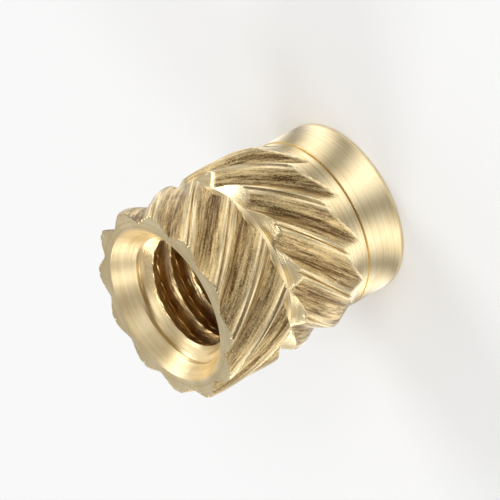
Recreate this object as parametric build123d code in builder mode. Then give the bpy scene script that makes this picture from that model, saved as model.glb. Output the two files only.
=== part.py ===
"""Knurled brass threaded insert for a plastic boss, M3, one turned and rolled piece.

Frame: millimetres, +Z is the insert's own axis and points out of the countersunk mouth.
The origin is the centre of the flat pilot end, on which the insert stands, and a tooth of
the mouth band is centred on +X at the mouth face.
"""

import os
from math import pi, radians, tan

from build123d import *

# Overall sizes
length = 5.0
pilot_diameter = 3.86

# Tapped bore, M3 x 0.5: the wall stands at the thread's minor diameter
bore_diameter = 2.46
bore_exit_chamfer = 0.12

# Countersunk mouth, and the small bevel where the tap enters
mouth_wall = 0.185
countersink_depth = 0.54
countersink_floor_diameter = 2.62
thread_bevel_depth = 0.08

# Knurl: how far the teeth stand above the pilot, and how deep the grooves go
tooth_count = 12
tooth_height = 0.22
groove_depth = 0.235
groove_width = 0.92
groove_floor_width = 0.14
helix_angle = 45

# Lengths along the axis, from the pilot end up to the mouth
pilot_length = 0.97
collar_length = 0.15
tail_taper_length = 0.63
waist_length = 0.22
mouth_band_length = 1.60

# Turned details: the collar and the waist lie just under the groove floors, so each groove
# runs out on them, and a small chamfer breaks the pilot's edge
collar_relief = 0.01
waist_relief = 0.015
waist_fillet = 0.16
pilot_edge_break = 0.03

pilot_radius = pilot_diameter / 2
crest_radius = pilot_radius + tooth_height
floor_radius = crest_radius - groove_depth
collar_radius = floor_radius - collar_relief
waist_radius = floor_radius - waist_relief
mouth_radius = floor_radius - mouth_wall
bore_radius = bore_diameter / 2

# The front of the tail band is a 45 degree cone, as long as it is high
nose_length = crest_radius - waist_radius

collar_top = pilot_length + collar_length
taper_top = collar_top + tail_taper_length
waist_top = length - mouth_band_length
waist_bottom = waist_top - waist_length
nose_top = waist_bottom - nose_length

# One tooth's share of the circle, and the axial advance of a whole turn of a groove
tooth_pitch = 360 / tooth_count
groove_lead = 2 * pi * crest_radius / tan(radians(helix_angle))


def groove_outline(overshoot):
    """Half width at the floor and beyond the crest, for straight flanks that pass the crest."""
    flank_slope = (groove_width - groove_floor_width) / 2 / groove_depth
    half_floor = groove_floor_width / 2
    half_top = groove_width / 2 + flank_slope * overshoot
    return [
        (floor_radius, -half_floor),
        (crest_radius + overshoot, -half_top),
        (crest_radius + overshoot, half_top),
        (floor_radius, half_floor),
    ]


def groove_ring(start, stop, first_angle, lefthand):
    """A ring of helical groove cutters, from one height up to another."""
    with BuildPart() as ring:
        with BuildLine(mode=Mode.PRIVATE):
            axis_line = Line((0, 0, start), (0, 0, stop))
        with BuildLine(Plane.XY.offset(start), mode=Mode.PRIVATE):
            twist_line = Helix(groove_lead, stop - start, crest_radius, lefthand=lefthand)
        with BuildSketch(Plane.XY.offset(start)):
            with PolarLocations(0, tooth_count, start_angle=first_angle):
                Polygon(*groove_outline(overshoot=0.2), align=None)
        sweep(path=axis_line, binormal=twist_line)
    return ring.part


# The mouth band's grooves are left-handed and centred half a pitch off +X at the mouth face.
# The tail band's are right-handed, with a groove on +X where the nose cone reaches the crest.
waist_middle = (waist_top + waist_bottom) / 2
collar_middle = pilot_length + collar_length / 2
overrun = 0.1
mouth_twist = 360 * (length - waist_middle) / groove_lead
tail_twist = 360 * (nose_top - collar_middle) / groove_lead
mouth_grooves = groove_ring(waist_middle, length + overrun, tooth_pitch / 2 + mouth_twist, True)
tail_grooves = groove_ring(collar_middle, waist_middle, -tail_twist, False)

# The insert: one revolved section, and the two bands of grooves rolled into it
with BuildPart() as insert:
    with BuildSketch(Plane.XZ):
        with BuildLine():
            outside = Polyline(
                (bore_radius + bore_exit_chamfer, 0),
                (pilot_radius - pilot_edge_break, 0),
                (pilot_radius, pilot_edge_break),
                (pilot_radius, pilot_length),
                (collar_radius, pilot_length),
                (collar_radius, collar_top),
                (crest_radius, taper_top),
                (crest_radius, nose_top),
                (waist_radius, waist_bottom),
                (waist_radius, waist_top - waist_fillet),
            )
            waist_arc = RadiusArc(
                outside @ 1,
                (waist_radius + waist_fillet, waist_top),
                waist_fillet,
            )
            Polyline(
                waist_arc @ 1,
                (crest_radius, waist_top),
                (crest_radius, length),
                (mouth_radius, length),
                (countersink_floor_diameter / 2, length - countersink_depth),
                (bore_radius, length - countersink_depth - thread_bevel_depth),
                (bore_radius, bore_exit_chamfer),
                outside @ 0,
            )
        make_face()
    revolve(axis=Axis.Z)
    add(mouth_grooves, mode=Mode.SUBTRACT)
    add(tail_grooves, mode=Mode.SUBTRACT)

insert.part.label = "insert"
os.makedirs("parts", exist_ok=True)
export_step(insert.part, "parts/insert.step")
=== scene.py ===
from math import cos, pi, radians, sin

import bpy
from mathutils import Matrix, Vector


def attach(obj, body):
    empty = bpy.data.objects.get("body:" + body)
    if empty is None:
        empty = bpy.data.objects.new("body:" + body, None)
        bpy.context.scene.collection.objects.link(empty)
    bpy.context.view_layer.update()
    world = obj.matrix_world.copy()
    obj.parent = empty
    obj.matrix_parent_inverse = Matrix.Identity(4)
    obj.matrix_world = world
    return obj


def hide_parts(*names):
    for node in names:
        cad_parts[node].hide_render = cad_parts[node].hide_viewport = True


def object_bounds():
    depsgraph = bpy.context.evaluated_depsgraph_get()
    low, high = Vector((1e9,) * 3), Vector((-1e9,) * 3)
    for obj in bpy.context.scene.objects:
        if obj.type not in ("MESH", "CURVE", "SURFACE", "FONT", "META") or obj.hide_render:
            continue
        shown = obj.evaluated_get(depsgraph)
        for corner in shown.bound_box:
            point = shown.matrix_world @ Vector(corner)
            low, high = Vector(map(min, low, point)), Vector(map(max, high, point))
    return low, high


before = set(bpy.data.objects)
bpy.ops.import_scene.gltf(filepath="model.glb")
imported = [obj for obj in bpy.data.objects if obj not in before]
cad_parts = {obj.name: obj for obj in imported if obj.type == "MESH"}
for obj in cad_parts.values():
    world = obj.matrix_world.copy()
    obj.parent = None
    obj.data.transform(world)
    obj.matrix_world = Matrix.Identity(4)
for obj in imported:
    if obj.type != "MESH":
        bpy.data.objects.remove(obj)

cad_low, cad_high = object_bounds()


# ---- The turned section ----
# The insert is one piece of free-cutting brass. It starts as a plain turned blank: a pilot that
# enters the hole first, a hairline collar, two bands left proud for the knurling wheels with a
# smooth waist between them, and a countersunk mouth above the bore.

MM = 0.001
LENGTH = cad_high[2]
CREST = cad_high[0]
TOOTH_COUNT = 12
GROOVE_DEPTH = 0.235 * MM
FLOOR = CREST - GROOVE_DEPTH
WAIST = FLOOR - 0.015 * MM
COLLAR = FLOOR - 0.010 * MM
PILOT = CREST - 0.22 * MM
MOUTH = FLOOR - 0.185 * MM
BORE = 1.23 * MM

PILOT_TOP = 0.97 * MM
COLLAR_TOP = 1.12 * MM
TAPER_TOP = 1.75 * MM
WAIST_TOP = LENGTH - 1.60 * MM
WAIST_BOTTOM = WAIST_TOP - 0.22 * MM
NOSE_TOP = WAIST_BOTTOM - (CREST - WAIST)
BEVEL_TOP = LENGTH - 0.54 * MM
BEVEL_FOOT = BEVEL_TOP - 0.08 * MM


def straight(start, end, steps):
    """Even steps along a straight stretch of the section, without its last point."""
    (r0, z0), (r1, z1) = start, end
    return [(r0 + (r1 - r0) * i / steps, z0 + (z1 - z0) * i / steps) for i in range(steps)]


def rounded(centre, radius, first, last, steps):
    """Even steps round an arc of the section, angles in degrees, without its last point."""
    turns = [radians(first + (last - first) * i / steps) for i in range(steps)]
    return [(centre[0] + radius * cos(a), centre[1] + radius * sin(a)) for a in turns]


def turned_section():
    """From the foot of the bore out round the pilot, up the bands, over the mouth and back down."""
    edge = 0.03 * MM
    cove = 0.16 * MM
    lip = 0.02 * MM
    foot = (BORE + 0.12 * MM, 0)
    seen_thread = BEVEL_FOOT - 1.8 * MM
    points = straight(foot, (PILOT - edge, 0), 3)
    points += rounded((PILOT - edge, edge), edge, -90, 0, 3)
    points += straight((PILOT, edge), (PILOT, PILOT_TOP - edge / 3), 4)
    points += [(PILOT, PILOT_TOP - edge / 3), (COLLAR - edge, PILOT_TOP)]
    points += straight((COLLAR, PILOT_TOP + edge), (COLLAR, COLLAR_TOP), 2)
    points += straight((COLLAR, COLLAR_TOP), (CREST, TAPER_TOP), 26)
    points += straight((CREST, TAPER_TOP), (CREST, NOSE_TOP), 24)
    points += straight((CREST, NOSE_TOP), (WAIST, WAIST_BOTTOM), 9)
    points += straight((WAIST, WAIST_BOTTOM), (WAIST, WAIST_TOP - cove), 2)
    points += rounded((WAIST + cove, WAIST_TOP - cove), cove, 180, 90, 6)
    points += straight((WAIST + cove, WAIST_TOP), (CREST, WAIST_TOP), 3)
    points += straight((CREST, WAIST_TOP), (CREST, LENGTH - lip), 30)
    points += [(CREST, LENGTH - lip)]
    points += straight((CREST - lip, LENGTH), (MOUTH, LENGTH), 6)
    points += straight((MOUTH, LENGTH), (1.31 * MM, BEVEL_TOP), 9)
    points += straight((1.31 * MM, BEVEL_TOP), (BORE, BEVEL_FOOT), 4)
    points += straight((BORE, BEVEL_FOOT), (BORE, seen_thread), 80)
    points += straight((BORE, seen_thread), (BORE, 0.12 * MM), 60)
    points += straight((BORE, 0.12 * MM), foot, 4)
    return points


section = turned_section()
section_mesh = bpy.data.meshes.new("turned_section")
section_mesh.from_pydata([(r, 0, z) for r, z in section], [], [])
insert = bpy.data.objects.new("brass_insert", section_mesh)
bpy.context.scene.collection.objects.link(insert)


# ---- The rolled knurl and the tapped bore ----
# A pair of knurling wheels presses twelve vee grooves into each band, left-handed at the mouth
# and right-handed at the tail, so the teeth can neither turn nor pull out of the plastic. The
# tree below spins the section round the axis, rolls the teeth and then taps the M3 thread.

tree = bpy.data.node_groups.new("knurled insert", "GeometryNodeTree")
tree.interface.new_socket("Section", in_out="INPUT", socket_type="NodeSocketGeometry")
SIZES = {
    "Crest radius": CREST,
    "Groove depth": GROOVE_DEPTH,
    "Tooth land": 0.15,
    "Groove floor": 0.05,
    "Seam depth": 0.045 * MM,
    "Seam width": 0.016,
    "Lip place": 0.042,
    "Lip height": 0.016 * MM,
    "Mouth height": LENGTH,
    "Waist top": WAIST_TOP,
    "Waist bottom": WAIST_BOTTOM,
    "Nose top": NOSE_TOP,
    "Collar top": COLLAR_TOP,
    "Thread major radius": 1.50 * MM,
    "Thread pitch": 0.50 * MM,
    "Thread start": 0.746,
    "Rolling streaks": 0.010 * MM,
}
COUNTS = {"Teeth": TOOTH_COUNT, "Columns per tooth": 24}
for name, value in COUNTS.items():
    socket = tree.interface.new_socket(name, in_out="INPUT", socket_type="NodeSocketInt")
    socket.default_value = value
for name, value in SIZES.items():
    socket = tree.interface.new_socket(name, in_out="INPUT", socket_type="NodeSocketFloat")
    socket.default_value = value
tree.interface.new_socket("Insert", in_out="OUTPUT", socket_type="NodeSocketGeometry")
size = tree.nodes.new("NodeGroupInput").outputs


def feed(node, number, value):
    """Put a constant on a node's input, or join another node's output to it."""
    if isinstance(value, bpy.types.NodeSocket):
        node.id_data.links.new(value, node.inputs[number])
    elif value is not None:
        node.inputs[number].default_value = value


def calc(operation, *terms, owner=tree):
    """One Math node, and its result."""
    node = owner.nodes.new("ShaderNodeMath")
    node.operation = operation
    for number, term in enumerate(terms):
        feed(node, number, term)
    return node.outputs[0]


def ramp(value, low, high, start=0.0, end=1.0):
    """A straight ramp of a value between two limits, clamped at both ends."""
    node = tree.nodes.new("ShaderNodeMapRange")
    for number, term in enumerate((value, low, high, start, end)):
        feed(node, number, term)
    return node.outputs[0]


def blend(share, first, second):
    """first where the share is 0, second where it is 1."""
    return calc("ADD", first, calc("MULTIPLY", share, calc("SUBTRACT", second, first)))


# Shape constants: how fast a seam or lip fades, how strongly columns crowd at a crest, which part of
# the crest radius divides the inside from the outside, and how a 60 degree thread flank falls away.
FADE_BASE = 2.718
CROWDING = 0.55
INSIDE_SHARE = 0.83
FLANK_FALL = 1.732
SHARP_BEND = radians(28)

# Rows follow the section and columns go round, with one column more than a whole turn.
counted = tree.nodes.new("GeometryNodeAttributeDomainSize")
counted.component = "MESH"
feed(counted, 0, size["Section"])
rows = counted.outputs["Point Count"]
columns = calc("MULTIPLY", size["Teeth"], size["Columns per tooth"])
columns_closed = calc("ADD", columns, 1.0)
grid = tree.nodes.new("GeometryNodeMeshGrid")
feed(grid, 2, calc("ADD", rows, 1.0))
feed(grid, 3, columns_closed)
index = tree.nodes.new("GeometryNodeInputIndex").outputs[0]
row = calc("FLOORED_MODULO", calc("FLOOR", calc("DIVIDE", index, columns_closed)), rows)
column = calc("FLOORED_MODULO", index, columns_closed)

sample = tree.nodes.new("GeometryNodeSampleIndex")
sample.data_type = "FLOAT_VECTOR"
feed(sample, 0, size["Section"])
feed(sample, 1, tree.nodes.new("GeometryNodeInputPosition").outputs[0])
feed(sample, 2, row)
split = tree.nodes.new("ShaderNodeSeparateXYZ")
feed(split, 0, sample.outputs[0])
radius, height = split.outputs[0], split.outputs[2]

# Columns crowd together at each crest, where the metal folds, and open out in the groove.
pitches = calc("DIVIDE", column, size["Columns per tooth"])
crowding = calc("SINE", calc("MULTIPLY", pitches, 2 * pi))
pitches = calc("SUBTRACT", pitches, calc("MULTIPLY", crowding, CROWDING / (2 * pi)))
pitch_angle = calc("DIVIDE", 2 * pi, size["Teeth"])
across = calc("ABSOLUTE", calc("SUBTRACT", pitches, calc("ROUND", pitches)))

# Each band's grooves advance at 45 degrees, so they turn by height over crest radius.
mouth_turn = calc("DIVIDE", calc("SUBTRACT", size["Mouth height"], height), size["Crest radius"])
tail_height = calc("MAXIMUM", height, size["Collar top"])
tail_turn = calc("DIVIDE", calc("SUBTRACT", tail_height, size["Nose top"]), size["Crest radius"])
tail_turn = calc("ADD", tail_turn, calc("MULTIPLY", pitch_angle, 1.5))
over_waist = ramp(height, size["Waist bottom"], size["Waist top"])
turn = blend(over_waist, tail_turn, mouth_turn)
turn = calc("MULTIPLY", turn, ramp(height, 0.0, size["Collar top"]))
inside_radius = calc("LESS_THAN", radius, calc("MULTIPLY", size["Crest radius"], INSIDE_SHARE))
outer = calc("SUBTRACT", 1.0, inside_radius)
turn = calc("MULTIPLY", turn, outer)
angle = calc("ADD", calc("MULTIPLY", pitches, pitch_angle), turn)

# The vee of a rolled groove: floor, two straight flanks, and the narrow land of the tooth.
groove_share = calc("SUBTRACT", 0.5, across)
half_floor = calc("MULTIPLY", size["Groove floor"], 0.5)
half_top = calc("MULTIPLY", calc("SUBTRACT", 1.0, size["Tooth land"]), 0.5)
floor_radius = calc("SUBTRACT", size["Crest radius"], size["Groove depth"])
flank = calc("DIVIDE", calc("SUBTRACT", groove_share, half_floor), calc("SUBTRACT", half_top, half_floor))
flank = calc("MAXIMUM", flank, 0.0)
vee = calc("ADD", floor_radius, calc("MULTIPLY", flank, size["Groove depth"]))

# Streaks left along the groove by the wheel, and the seam where the two burrs meet on the crest.
streak_place = tree.nodes.new("ShaderNodeCombineXYZ")
feed(streak_place, 0, calc("MULTIPLY", pitches, 9.0))
feed(streak_place, 1, calc("MULTIPLY", height, 1500.0))
feed(streak_place, 2, over_waist)
streaks = tree.nodes.new("ShaderNodeTexNoise")
streaks.inputs["Scale"].default_value = 1.0
streaks.inputs["Detail"].default_value = 2.0
feed(streaks, 0, streak_place.outputs[0])
streak = calc("MULTIPLY", calc("SUBTRACT", streaks.outputs[0], 0.5), 2.0)
vee = calc("ADD", vee, calc("MULTIPLY", streak, size["Rolling streaks"]))
seam_share = calc("DIVIDE", across, size["Seam width"])
seam = calc("POWER", FADE_BASE, calc("MULTIPLY", calc("MULTIPLY", seam_share, seam_share), -1.0))
lip_share = calc("DIVIDE", calc("SUBTRACT", across, size["Lip place"]), size["Seam width"])
lip = calc("POWER", FADE_BASE, calc("MULTIPLY", calc("MULTIPLY", lip_share, lip_share), -1.0))
tip = calc("SUBTRACT", size["Crest radius"], calc("MULTIPLY", seam, size["Seam depth"]))
tip = calc("SUBTRACT", tip, calc("MULTIPLY", calc("SUBTRACT", 1.0, lip), size["Lip height"]))
vee = calc("MINIMUM", vee, tip)
rolled_radius = calc("MINIMUM", radius, vee)
in_bands = calc("MULTIPLY", outer, calc("GREATER_THAN", height, size["Collar top"]))
knurled_radius = blend(in_bands, radius, rolled_radius)

# The tapped thread: a 60 degree vee that climbs one pitch a turn, cut wherever it is deeper
# than the bore, so it runs out by itself in the countersink and at the foot.
climb = calc("SUBTRACT", calc("DIVIDE", height, size["Thread pitch"]), calc("DIVIDE", angle, 2 * pi))
climb = calc("ADD", climb, size["Thread start"])
from_root = calc("ABSOLUTE", calc("SUBTRACT", calc("FRACT", climb), 0.5))
root_flat = 1 / 16
thread_drop = calc("MULTIPLY", calc("MAXIMUM", calc("SUBTRACT", from_root, root_flat), 0.0), size["Thread pitch"])
thread_radius = calc("SUBTRACT", size["Thread major radius"], calc("MULTIPLY", thread_drop, FLANK_FALL))
tapped_radius = calc("MAXIMUM", radius, thread_radius)
final_radius = blend(inside_radius, knurled_radius, tapped_radius)

place = tree.nodes.new("ShaderNodeCombineXYZ")
feed(place, 0, calc("MULTIPLY", final_radius, calc("COSINE", angle)))
feed(place, 1, calc("MULTIPLY", final_radius, calc("SINE", angle)))
feed(place, 2, height)


def store(geometry, name, value, kind="FLOAT"):
    """Keep a value on the points, for the finish to read."""
    node = tree.nodes.new("GeometryNodeStoreNamedAttribute")
    node.data_type = kind
    node.domain = "POINT"
    feed(node, 0, geometry)
    node.inputs["Name"].default_value = name
    feed(node, 3, value)
    return node.outputs[0]


bite = calc("SUBTRACT", radius, vee)
rolled = calc("MULTIPLY", in_bands, ramp(bite, 0.012 * MM, 0.045 * MM))
# sunk: how deep a rolled surface sits in its groove, used in the finish for painted shade, darker deeper in the
# grooves.
sunk = calc("MULTIPLY", in_bands, ramp(rolled_radius, size["Crest radius"], floor_radius))
tapped = calc("MULTIPLY", inside_radius, calc("LESS_THAN", height, BEVEL_FOOT))
shape = store(grid.outputs[0], "rolled", rolled)
shape = store(shape, "tapped", tapped)
shape = store(shape, "pitches", pitches)
shape = store(shape, "sunk", sunk)
shape = store(shape, "bored", calc("SUBTRACT", inside_radius, tapped))
move = tree.nodes.new("GeometryNodeSetPosition")
feed(move, 0, shape)
feed(move, 2, place.outputs[0])
weld = tree.nodes.new("GeometryNodeMergeByDistance")
feed(weld, 0, move.outputs[0])
weld.inputs["Distance"].default_value = 0.0002 * MM
outward = tree.nodes.new("GeometryNodeFlipFaces")
feed(outward, 0, weld.outputs[0])
bend = tree.nodes.new("GeometryNodeInputMeshEdgeAngle").outputs[0]
creased = tree.nodes.new("GeometryNodeSetShadeSmooth")
creased.domain = "EDGE"
feed(creased, 0, outward.outputs[0])
feed(creased, 1, calc("GREATER_THAN", bend, SHARP_BEND))
creased.inputs[2].default_value = False
real = tree.nodes.new("GeometryNodeRealizeInstances")
feed(real, 0, creased.outputs[0])


def clad(geometry, material, zone=None):
    """Give a finish to the whole piece, or to the faces where a stored value passes a half."""
    node = tree.nodes.new("GeometryNodeSetMaterial")
    feed(node, 0, geometry)
    node.inputs["Material"].default_value = material
    if zone:
        stored = tree.nodes.new("GeometryNodeInputNamedAttribute")
        stored.data_type = "FLOAT"
        stored.inputs[0].default_value = zone
        feed(node, 1, calc("GREATER_THAN", stored.outputs[0], 0.5))
    return node.outputs[0]


outer_brass = bpy.data.materials.new("turned and rolled brass")
tapped_brass = bpy.data.materials.new("tapped brass")
clothed = clad(real.outputs[0], outer_brass)
clothed = clad(clothed, tapped_brass, "tapped")
feed(tree.nodes.new("NodeGroupOutput"), 0, clothed)

knurling = insert.modifiers.new("knurling", "NODES")
knurling.node_group = tree
bpy.context.view_layer.update()
evaluated = insert.evaluated_get(bpy.context.evaluated_depsgraph_get())
solid_mesh = bpy.data.meshes.new_from_object(evaluated)
insert.modifiers.remove(knurling)
insert.data = solid_mesh


# ---- The brass finishes ----
# Bare brass in two materials. Outside it is pale gold where the tool turned it bright, and changes
# to grainy metal as the wheels bite in, painted browner and darker there as painted shade in the
# grooves. The tapped bore is painted browner and darker too, as painted shade in the hole.


def wire(owner, kind, **values):
    """One shader node in a material or group, its inputs set or joined by name."""
    node = owner.nodes.new(kind)
    for name, value in values.items():
        feed(node, name.replace("_", " "), value)
    return node


turning = bpy.data.node_groups.new("turning marks", "ShaderNodeTree")
turning.interface.new_socket("Lines per metre", in_out="INPUT", socket_type="NodeSocketFloat")
turning.interface.new_socket("Wander", in_out="INPUT", socket_type="NodeSocketFloat")
turning.interface.new_socket("Height", in_out="OUTPUT", socket_type="NodeSocketFloat")
given = turning.nodes.new("NodeGroupInput").outputs
where = wire(turning, "ShaderNodeTexCoord").outputs["Object"]
part = wire(turning, "ShaderNodeSeparateXYZ", Vector=where).outputs
span = calc("SQRT", calc("ADD", calc("MULTIPLY", part[0], part[0], owner=turning),
                         calc("MULTIPLY", part[1], part[1], owner=turning), owner=turning), owner=turning)
bearing = calc("ARCTAN2", part[1], part[0], owner=turning)
spot = wire(turning, "ShaderNodeCombineXYZ",
            X=calc("MULTIPLY", span, given[0], owner=turning),
            Y=calc("MULTIPLY", part[2], given[0], owner=turning),
            Z=calc("MULTIPLY", calc("ABSOLUTE", bearing, owner=turning), given[1], owner=turning))
lines = wire(turning, "ShaderNodeTexNoise", Vector=spot.outputs[0], Scale=1.0, Detail=3.0)
feed(turning.nodes.new("NodeGroupOutput"), 0, lines.outputs[0])


def between(nodes, value, low, high):
    """A colour ramp from one brass tone to another as a value rises."""
    node = wire(nodes, "ShaderNodeValToRGB", Fac=value)
    (start, first), (end, last) = low, high
    node.color_ramp.elements[0].position = start
    node.color_ramp.elements[1].position = end
    node.color_ramp.elements[0].color = (*first, 1)
    node.color_ramp.elements[1].color = (*last, 1)
    return node.outputs[0]


def tool_lines(nodes, lines_per_metre, wander):
    """The turning marks, placed in a material."""
    marks = nodes.nodes.new("ShaderNodeGroup")
    marks.node_tree = turning
    marks.inputs[0].default_value = lines_per_metre
    marks.inputs[1].default_value = wander
    return marks.outputs[0]


def reading(nodes, name):
    """A value that the node tree kept on the points."""
    node = wire(nodes, "ShaderNodeAttribute")
    node.attribute_name = name
    return node.outputs["Fac"]


def metal_of(material):
    """A material's own shader, set to bare metal."""
    material.use_nodes = True
    shader = material.node_tree.nodes["Principled BSDF"]
    shader.inputs["Metallic"].default_value = 1.0
    return shader


# Outside, the mask kept by the node tree says how far the wheels have bitten into the blank.
metal = metal_of(outer_brass)
nodes = outer_brass.node_tree
place = wire(nodes, "ShaderNodeTexCoord").outputs["Object"]
cloud = wire(nodes, "ShaderNodeTexNoise", Vector=place, Scale=1500.0, Detail=3.0).outputs[0]
grain = wire(nodes, "ShaderNodeTexNoise", Vector=place, Scale=30000.0, Detail=3.0).outputs[0]
fine_lines = tool_lines(nodes, 70000.0, 0.8)
broad_lines = tool_lines(nodes, 16000.0, 0.5)
up = wire(nodes, "ShaderNodeSeparateXYZ", Vector=place).outputs[2]


def dragged(across_scale, along_scale, detail):
    """Noise stretched along the grooves, as metal smears under the wheel."""
    spot = wire(nodes, "ShaderNodeCombineXYZ",
                X=calc("MULTIPLY", reading(nodes, "pitches"), across_scale, owner=nodes),
                Y=calc("MULTIPLY", up, along_scale, owner=nodes))
    smear = wire(nodes, "ShaderNodeTexNoise", Vector=spot.outputs[0], Scale=1.0, Detail=detail, Roughness=0.7)
    return smear.outputs[0]


fine_drag = dragged(22.0, 2200.0, 3.0)
broad_drag = dragged(7.0, 700.0, 4.0)
turned_tone = calc("MULTIPLY", calc("ADD", cloud, broad_lines, owner=nodes), 0.5, owner=nodes)
turned_colour = between(nodes, turned_tone, (0.40, (0.76, 0.60, 0.33)), (0.58, (0.90, 0.75, 0.47)))
# The rolled surfaces are grainy, smeared metal. Their colour runs down to a very dark brown as painted shade in the
# grooves.
rolled_tone_and_shade = calc("ADD", calc("MULTIPLY", fine_drag, 0.4, owner=nodes),
                   calc("MULTIPLY", broad_drag, 0.6, owner=nodes), owner=nodes)
rolled_tone_and_shade = calc("ADD", calc("MULTIPLY", rolled_tone_and_shade, 0.8, owner=nodes),
                   calc("MULTIPLY", grain, 0.2, owner=nodes), owner=nodes)
# Painted shade: the rolled tone is made darker the deeper the surface sits in its groove.
rolled_tone_and_shade = calc("SUBTRACT", rolled_tone_and_shade, calc("MULTIPLY", reading(nodes, "sunk"), 0.05, owner=nodes), owner=nodes)
rolled_colour_and_shade = between(nodes, rolled_tone_and_shade, (0.40, (0.17, 0.095, 0.035)), (0.54, (0.93, 0.71, 0.36)))
bitten = reading(nodes, "rolled")
mixed = wire(nodes, "ShaderNodeMix")
mixed.data_type = "RGBA"
feed(mixed, 0, bitten)
feed(mixed, 6, turned_colour)
feed(mixed, 7, rolled_colour_and_shade)
feed(metal, "Base Color", mixed.outputs[2])
turned_height = calc("ADD", calc("MULTIPLY", fine_lines, 0.35, owner=nodes),
                     calc("MULTIPLY", broad_lines, 0.5, owner=nodes), owner=nodes)
rolled_height = calc("ADD", calc("MULTIPLY", fine_drag, 1.3, owner=nodes),
                     calc("MULTIPLY", broad_drag, 2.6, owner=nodes), owner=nodes)
rolled_height = calc("ADD", rolled_height, calc("MULTIPLY", grain, 1.3, owner=nodes), owner=nodes)
rise = calc("SUBTRACT", rolled_height, turned_height, owner=nodes)
surface = calc("ADD", turned_height, calc("MULTIPLY", bitten, rise, owner=nodes), owner=nodes)
bump = wire(nodes, "ShaderNodeBump", Height=surface, Distance=0.00001, Strength=1.0)
feed(metal, "Normal", bump.outputs[0])
sheen = calc("ADD", 0.20, calc("MULTIPLY", cloud, 0.10, owner=nodes), owner=nodes)
sheen = calc("ADD", sheen, calc("MULTIPLY", bitten, 0.10, owner=nodes), owner=nodes)
sheen = calc("ADD", sheen, calc("MULTIPLY", reading(nodes, "bored"), 0.16, owner=nodes), owner=nodes)
feed(metal, "Roughness", sheen)
metal.inputs["Anisotropic"].default_value = 0.7
metal.inputs["Anisotropic Rotation"].default_value = 0.25
lay = wire(nodes, "ShaderNodeTangent")
lay.direction_type = "RADIAL"
lay.axis = "Z"
feed(metal, "Tangent", lay.outputs[0])

# In the bore the same brass is painted browner and darker, as painted shade in the hole, with a random mottle.
metal = metal_of(tapped_brass)
nodes = tapped_brass.node_tree
place = wire(nodes, "ShaderNodeTexCoord").outputs["Object"]
bore_shade_mottle = wire(nodes, "ShaderNodeTexNoise", Vector=place, Scale=2500.0, Detail=3.0).outputs[0]
feed(metal, "Base Color", between(nodes, bore_shade_mottle, (0.40, (0.64, 0.43, 0.19)), (0.62, (0.90, 0.69, 0.38))))
metal.inputs["Roughness"].default_value = 0.22
bump = wire(nodes, "ShaderNodeBump", Height=tool_lines(nodes, 50000.0, 0.6), Distance=0.000006, Strength=1.0)
feed(metal, "Normal", bump.outputs[0])

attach(insert, "root")
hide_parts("insert")


# ---- The stage ----
# A plain white floor and soft light, with the camera at a long lens, as for small parts.

floor_mesh = bpy.data.meshes.new("floor")
half = 0.5
floor_mesh.from_pydata([(-half, -half, 0), (half, -half, 0), (half, half, 0), (-half, half, 0)], [], [(0, 1, 2, 3)])
floor = bpy.data.objects.new("floor", floor_mesh)
bpy.context.scene.collection.objects.link(floor)

ELEVATION = radians(31.5)
AZIMUTH = radians(-83.1)
aim = Vector((0, 0, LENGTH - 2.47 * MM))
sight = Vector((cos(ELEVATION) * cos(AZIMUTH), cos(ELEVATION) * sin(AZIMUTH), sin(ELEVATION)))
right = Vector((-sin(AZIMUTH), cos(AZIMUTH), 0))
above = sight.cross(right)
camera_data = bpy.data.cameras.new("camera")
camera = bpy.data.objects.new("camera", camera_data)
bpy.context.scene.collection.objects.link(camera)
camera_data.sensor_width = 36
camera_data.lens = 357.768
camera_data.clip_start = 0.001
# The insert's own axis, as seen by the camera, points down to the left.
axis_x, axis_y = -0.743, -0.4175
scale = (axis_x ** 2 + axis_y ** 2) ** 0.5
tilt_c, tilt_s = axis_y / scale, axis_x / scale
camera_right = right * tilt_c + above * tilt_s
camera_up = sight.cross(camera_right)
rotation = Matrix((camera_right, camera_up, sight)).transposed().to_4x4()
aim += (camera_up * 0.872 - camera_right * 0.49) * 0.14 * MM
camera.matrix_world = Matrix.Translation(aim + sight * 0.1045) @ rotation
bpy.context.scene.camera = camera
bpy.context.scene.view_settings.view_transform = "Standard"

world = bpy.data.worlds.new("studio")
bpy.context.scene.world = world
world.use_nodes = True
sky = world.node_tree
back = sky.nodes["Background"]
back.inputs[0].default_value = (0.55, 0.55, 0.55, 1)

white = bpy.data.materials.new("white floor")
white.use_nodes = True
paper = white.node_tree.nodes["Principled BSDF"]
paper.inputs["Base Color"].default_value = (0.86, 0.86, 0.86, 1)
paper.inputs["Roughness"].default_value = 0.9
paper.inputs["Specular IOR Level"].default_value = 0.0
floor_mesh.materials.append(white)


def toward(round_from_lens, above_floor):
    """A direction given in degrees round the insert from the lens, and up from the floor."""
    way, rise = AZIMUTH + radians(round_from_lens), radians(above_floor)
    return Vector((cos(rise) * cos(way), cos(rise) * sin(way), sin(rise)))


def lamp(name, direction, distance, size, power):
    """One soft square lamp that looks at the insert."""
    data = bpy.data.lights.new(name, "AREA")
    data.shape = "SQUARE"
    data.size = size
    data.energy = power
    thing = bpy.data.objects.new(name, data)
    bpy.context.scene.collection.objects.link(thing)
    facing = direction.to_track_quat("Z", "Y").to_matrix().to_4x4()
    thing.matrix_world = Matrix.Translation(aim + direction * distance) @ facing
    return thing


lamp("near left", toward(20, 38), 0.30, 0.10, 0.085)
lamp("far left", toward(100, 30), 0.30, 0.13, 0.25)
lamp("near right", toward(-70, 25), 0.30, 0.11, 0.135)
lamp("far right", toward(-130, 30), 0.30, 0.12, 0.20)
lamp("behind", toward(150, 34), 0.30, 0.18, 0.045)
lamp("above", toward(0, 72), 0.30, 0.12, 0.17)

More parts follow.
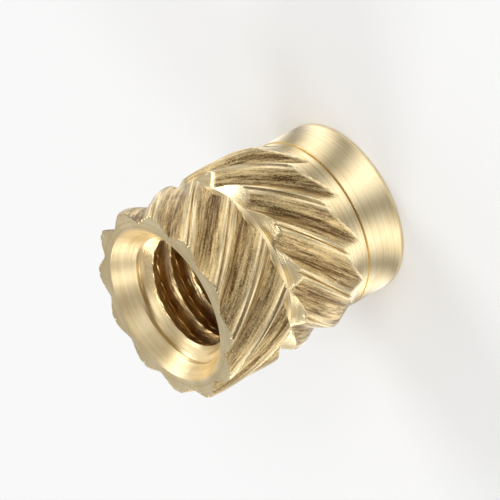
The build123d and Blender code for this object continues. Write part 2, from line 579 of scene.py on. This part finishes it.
def card(name, points, faces, material, matrix):
    """A flat card that only reflections see: neither the camera nor the light of the room."""
    card_mesh = bpy.data.meshes.new(name)
    card_mesh.from_pydata(points, [], faces)
    card_mesh.materials.append(material)
    thing = bpy.data.objects.new(name, card_mesh)
    bpy.context.scene.collection.objects.link(thing)
    thing.matrix_world = matrix
    thing.visible_camera = False
    thing.visible_diffuse = False
    thing.visible_shadow = False


# A dark card round the lens gives bright metal its dark tones.
STEPS = 72
circle = [(cos(2 * pi * i / STEPS), sin(2 * pi * i / STEPS)) for i in range(STEPS)]
black = bpy.data.materials.new("dark card")
black.use_nodes = True
black.node_tree.nodes["Principled BSDF"].inputs["Base Color"].default_value = (0.05, 0.045, 0.04, 1)
black.node_tree.nodes["Principled BSDF"].inputs["Roughness"].default_value = 1.0
lens_card = [(0.07 * x, 0.07 * y, 0) for x, y in circle]
card("lens_card", lens_card, [tuple(range(STEPS))], black, Matrix.Translation(aim + sight * 0.12) @ rotation)

# A ring card on the floor glows in seven even soft bands and is seen only in reflections. The upright sides mirror
# it as painted highlight bands.
banded = bpy.data.materials.new("banded paper")
banded.use_nodes = True
bands = banded.node_tree
bands.nodes.remove(bands.nodes["Principled BSDF"])
corner = wire(bands, "ShaderNodeSeparateXYZ", Vector=wire(bands, "ShaderNodeTexCoord").outputs["Object"]).outputs
from_first = calc("SUBTRACT", calc("ARCTAN2", corner[1], corner[0], owner=bands), radians(12), owner=bands)
wave = calc("COSINE", calc("MULTIPLY", from_first, 7.0, owner=bands), owner=bands)
brightness = calc("ADD", 0.98, calc("MULTIPLY", wave, 0.52, owner=bands), owner=bands)
glow = wire(bands, "ShaderNodeEmission", Strength=brightness)
feed(bands.nodes["Material Output"], "Surface", glow.outputs[0])
ring = [(1.96 * MM * x, 1.96 * MM * y, 0.05 * MM) for x, y in circle]
ring += [(60 * MM * x, 60 * MM * y, 0.05 * MM) for x, y in circle]
quads = [(i, (i + 1) % STEPS, STEPS + (i + 1) % STEPS, STEPS + i) for i in range(STEPS)]
card("floor_ring", ring, quads, banded, Matrix.Rotation(AZIMUTH, 4, "Z"))
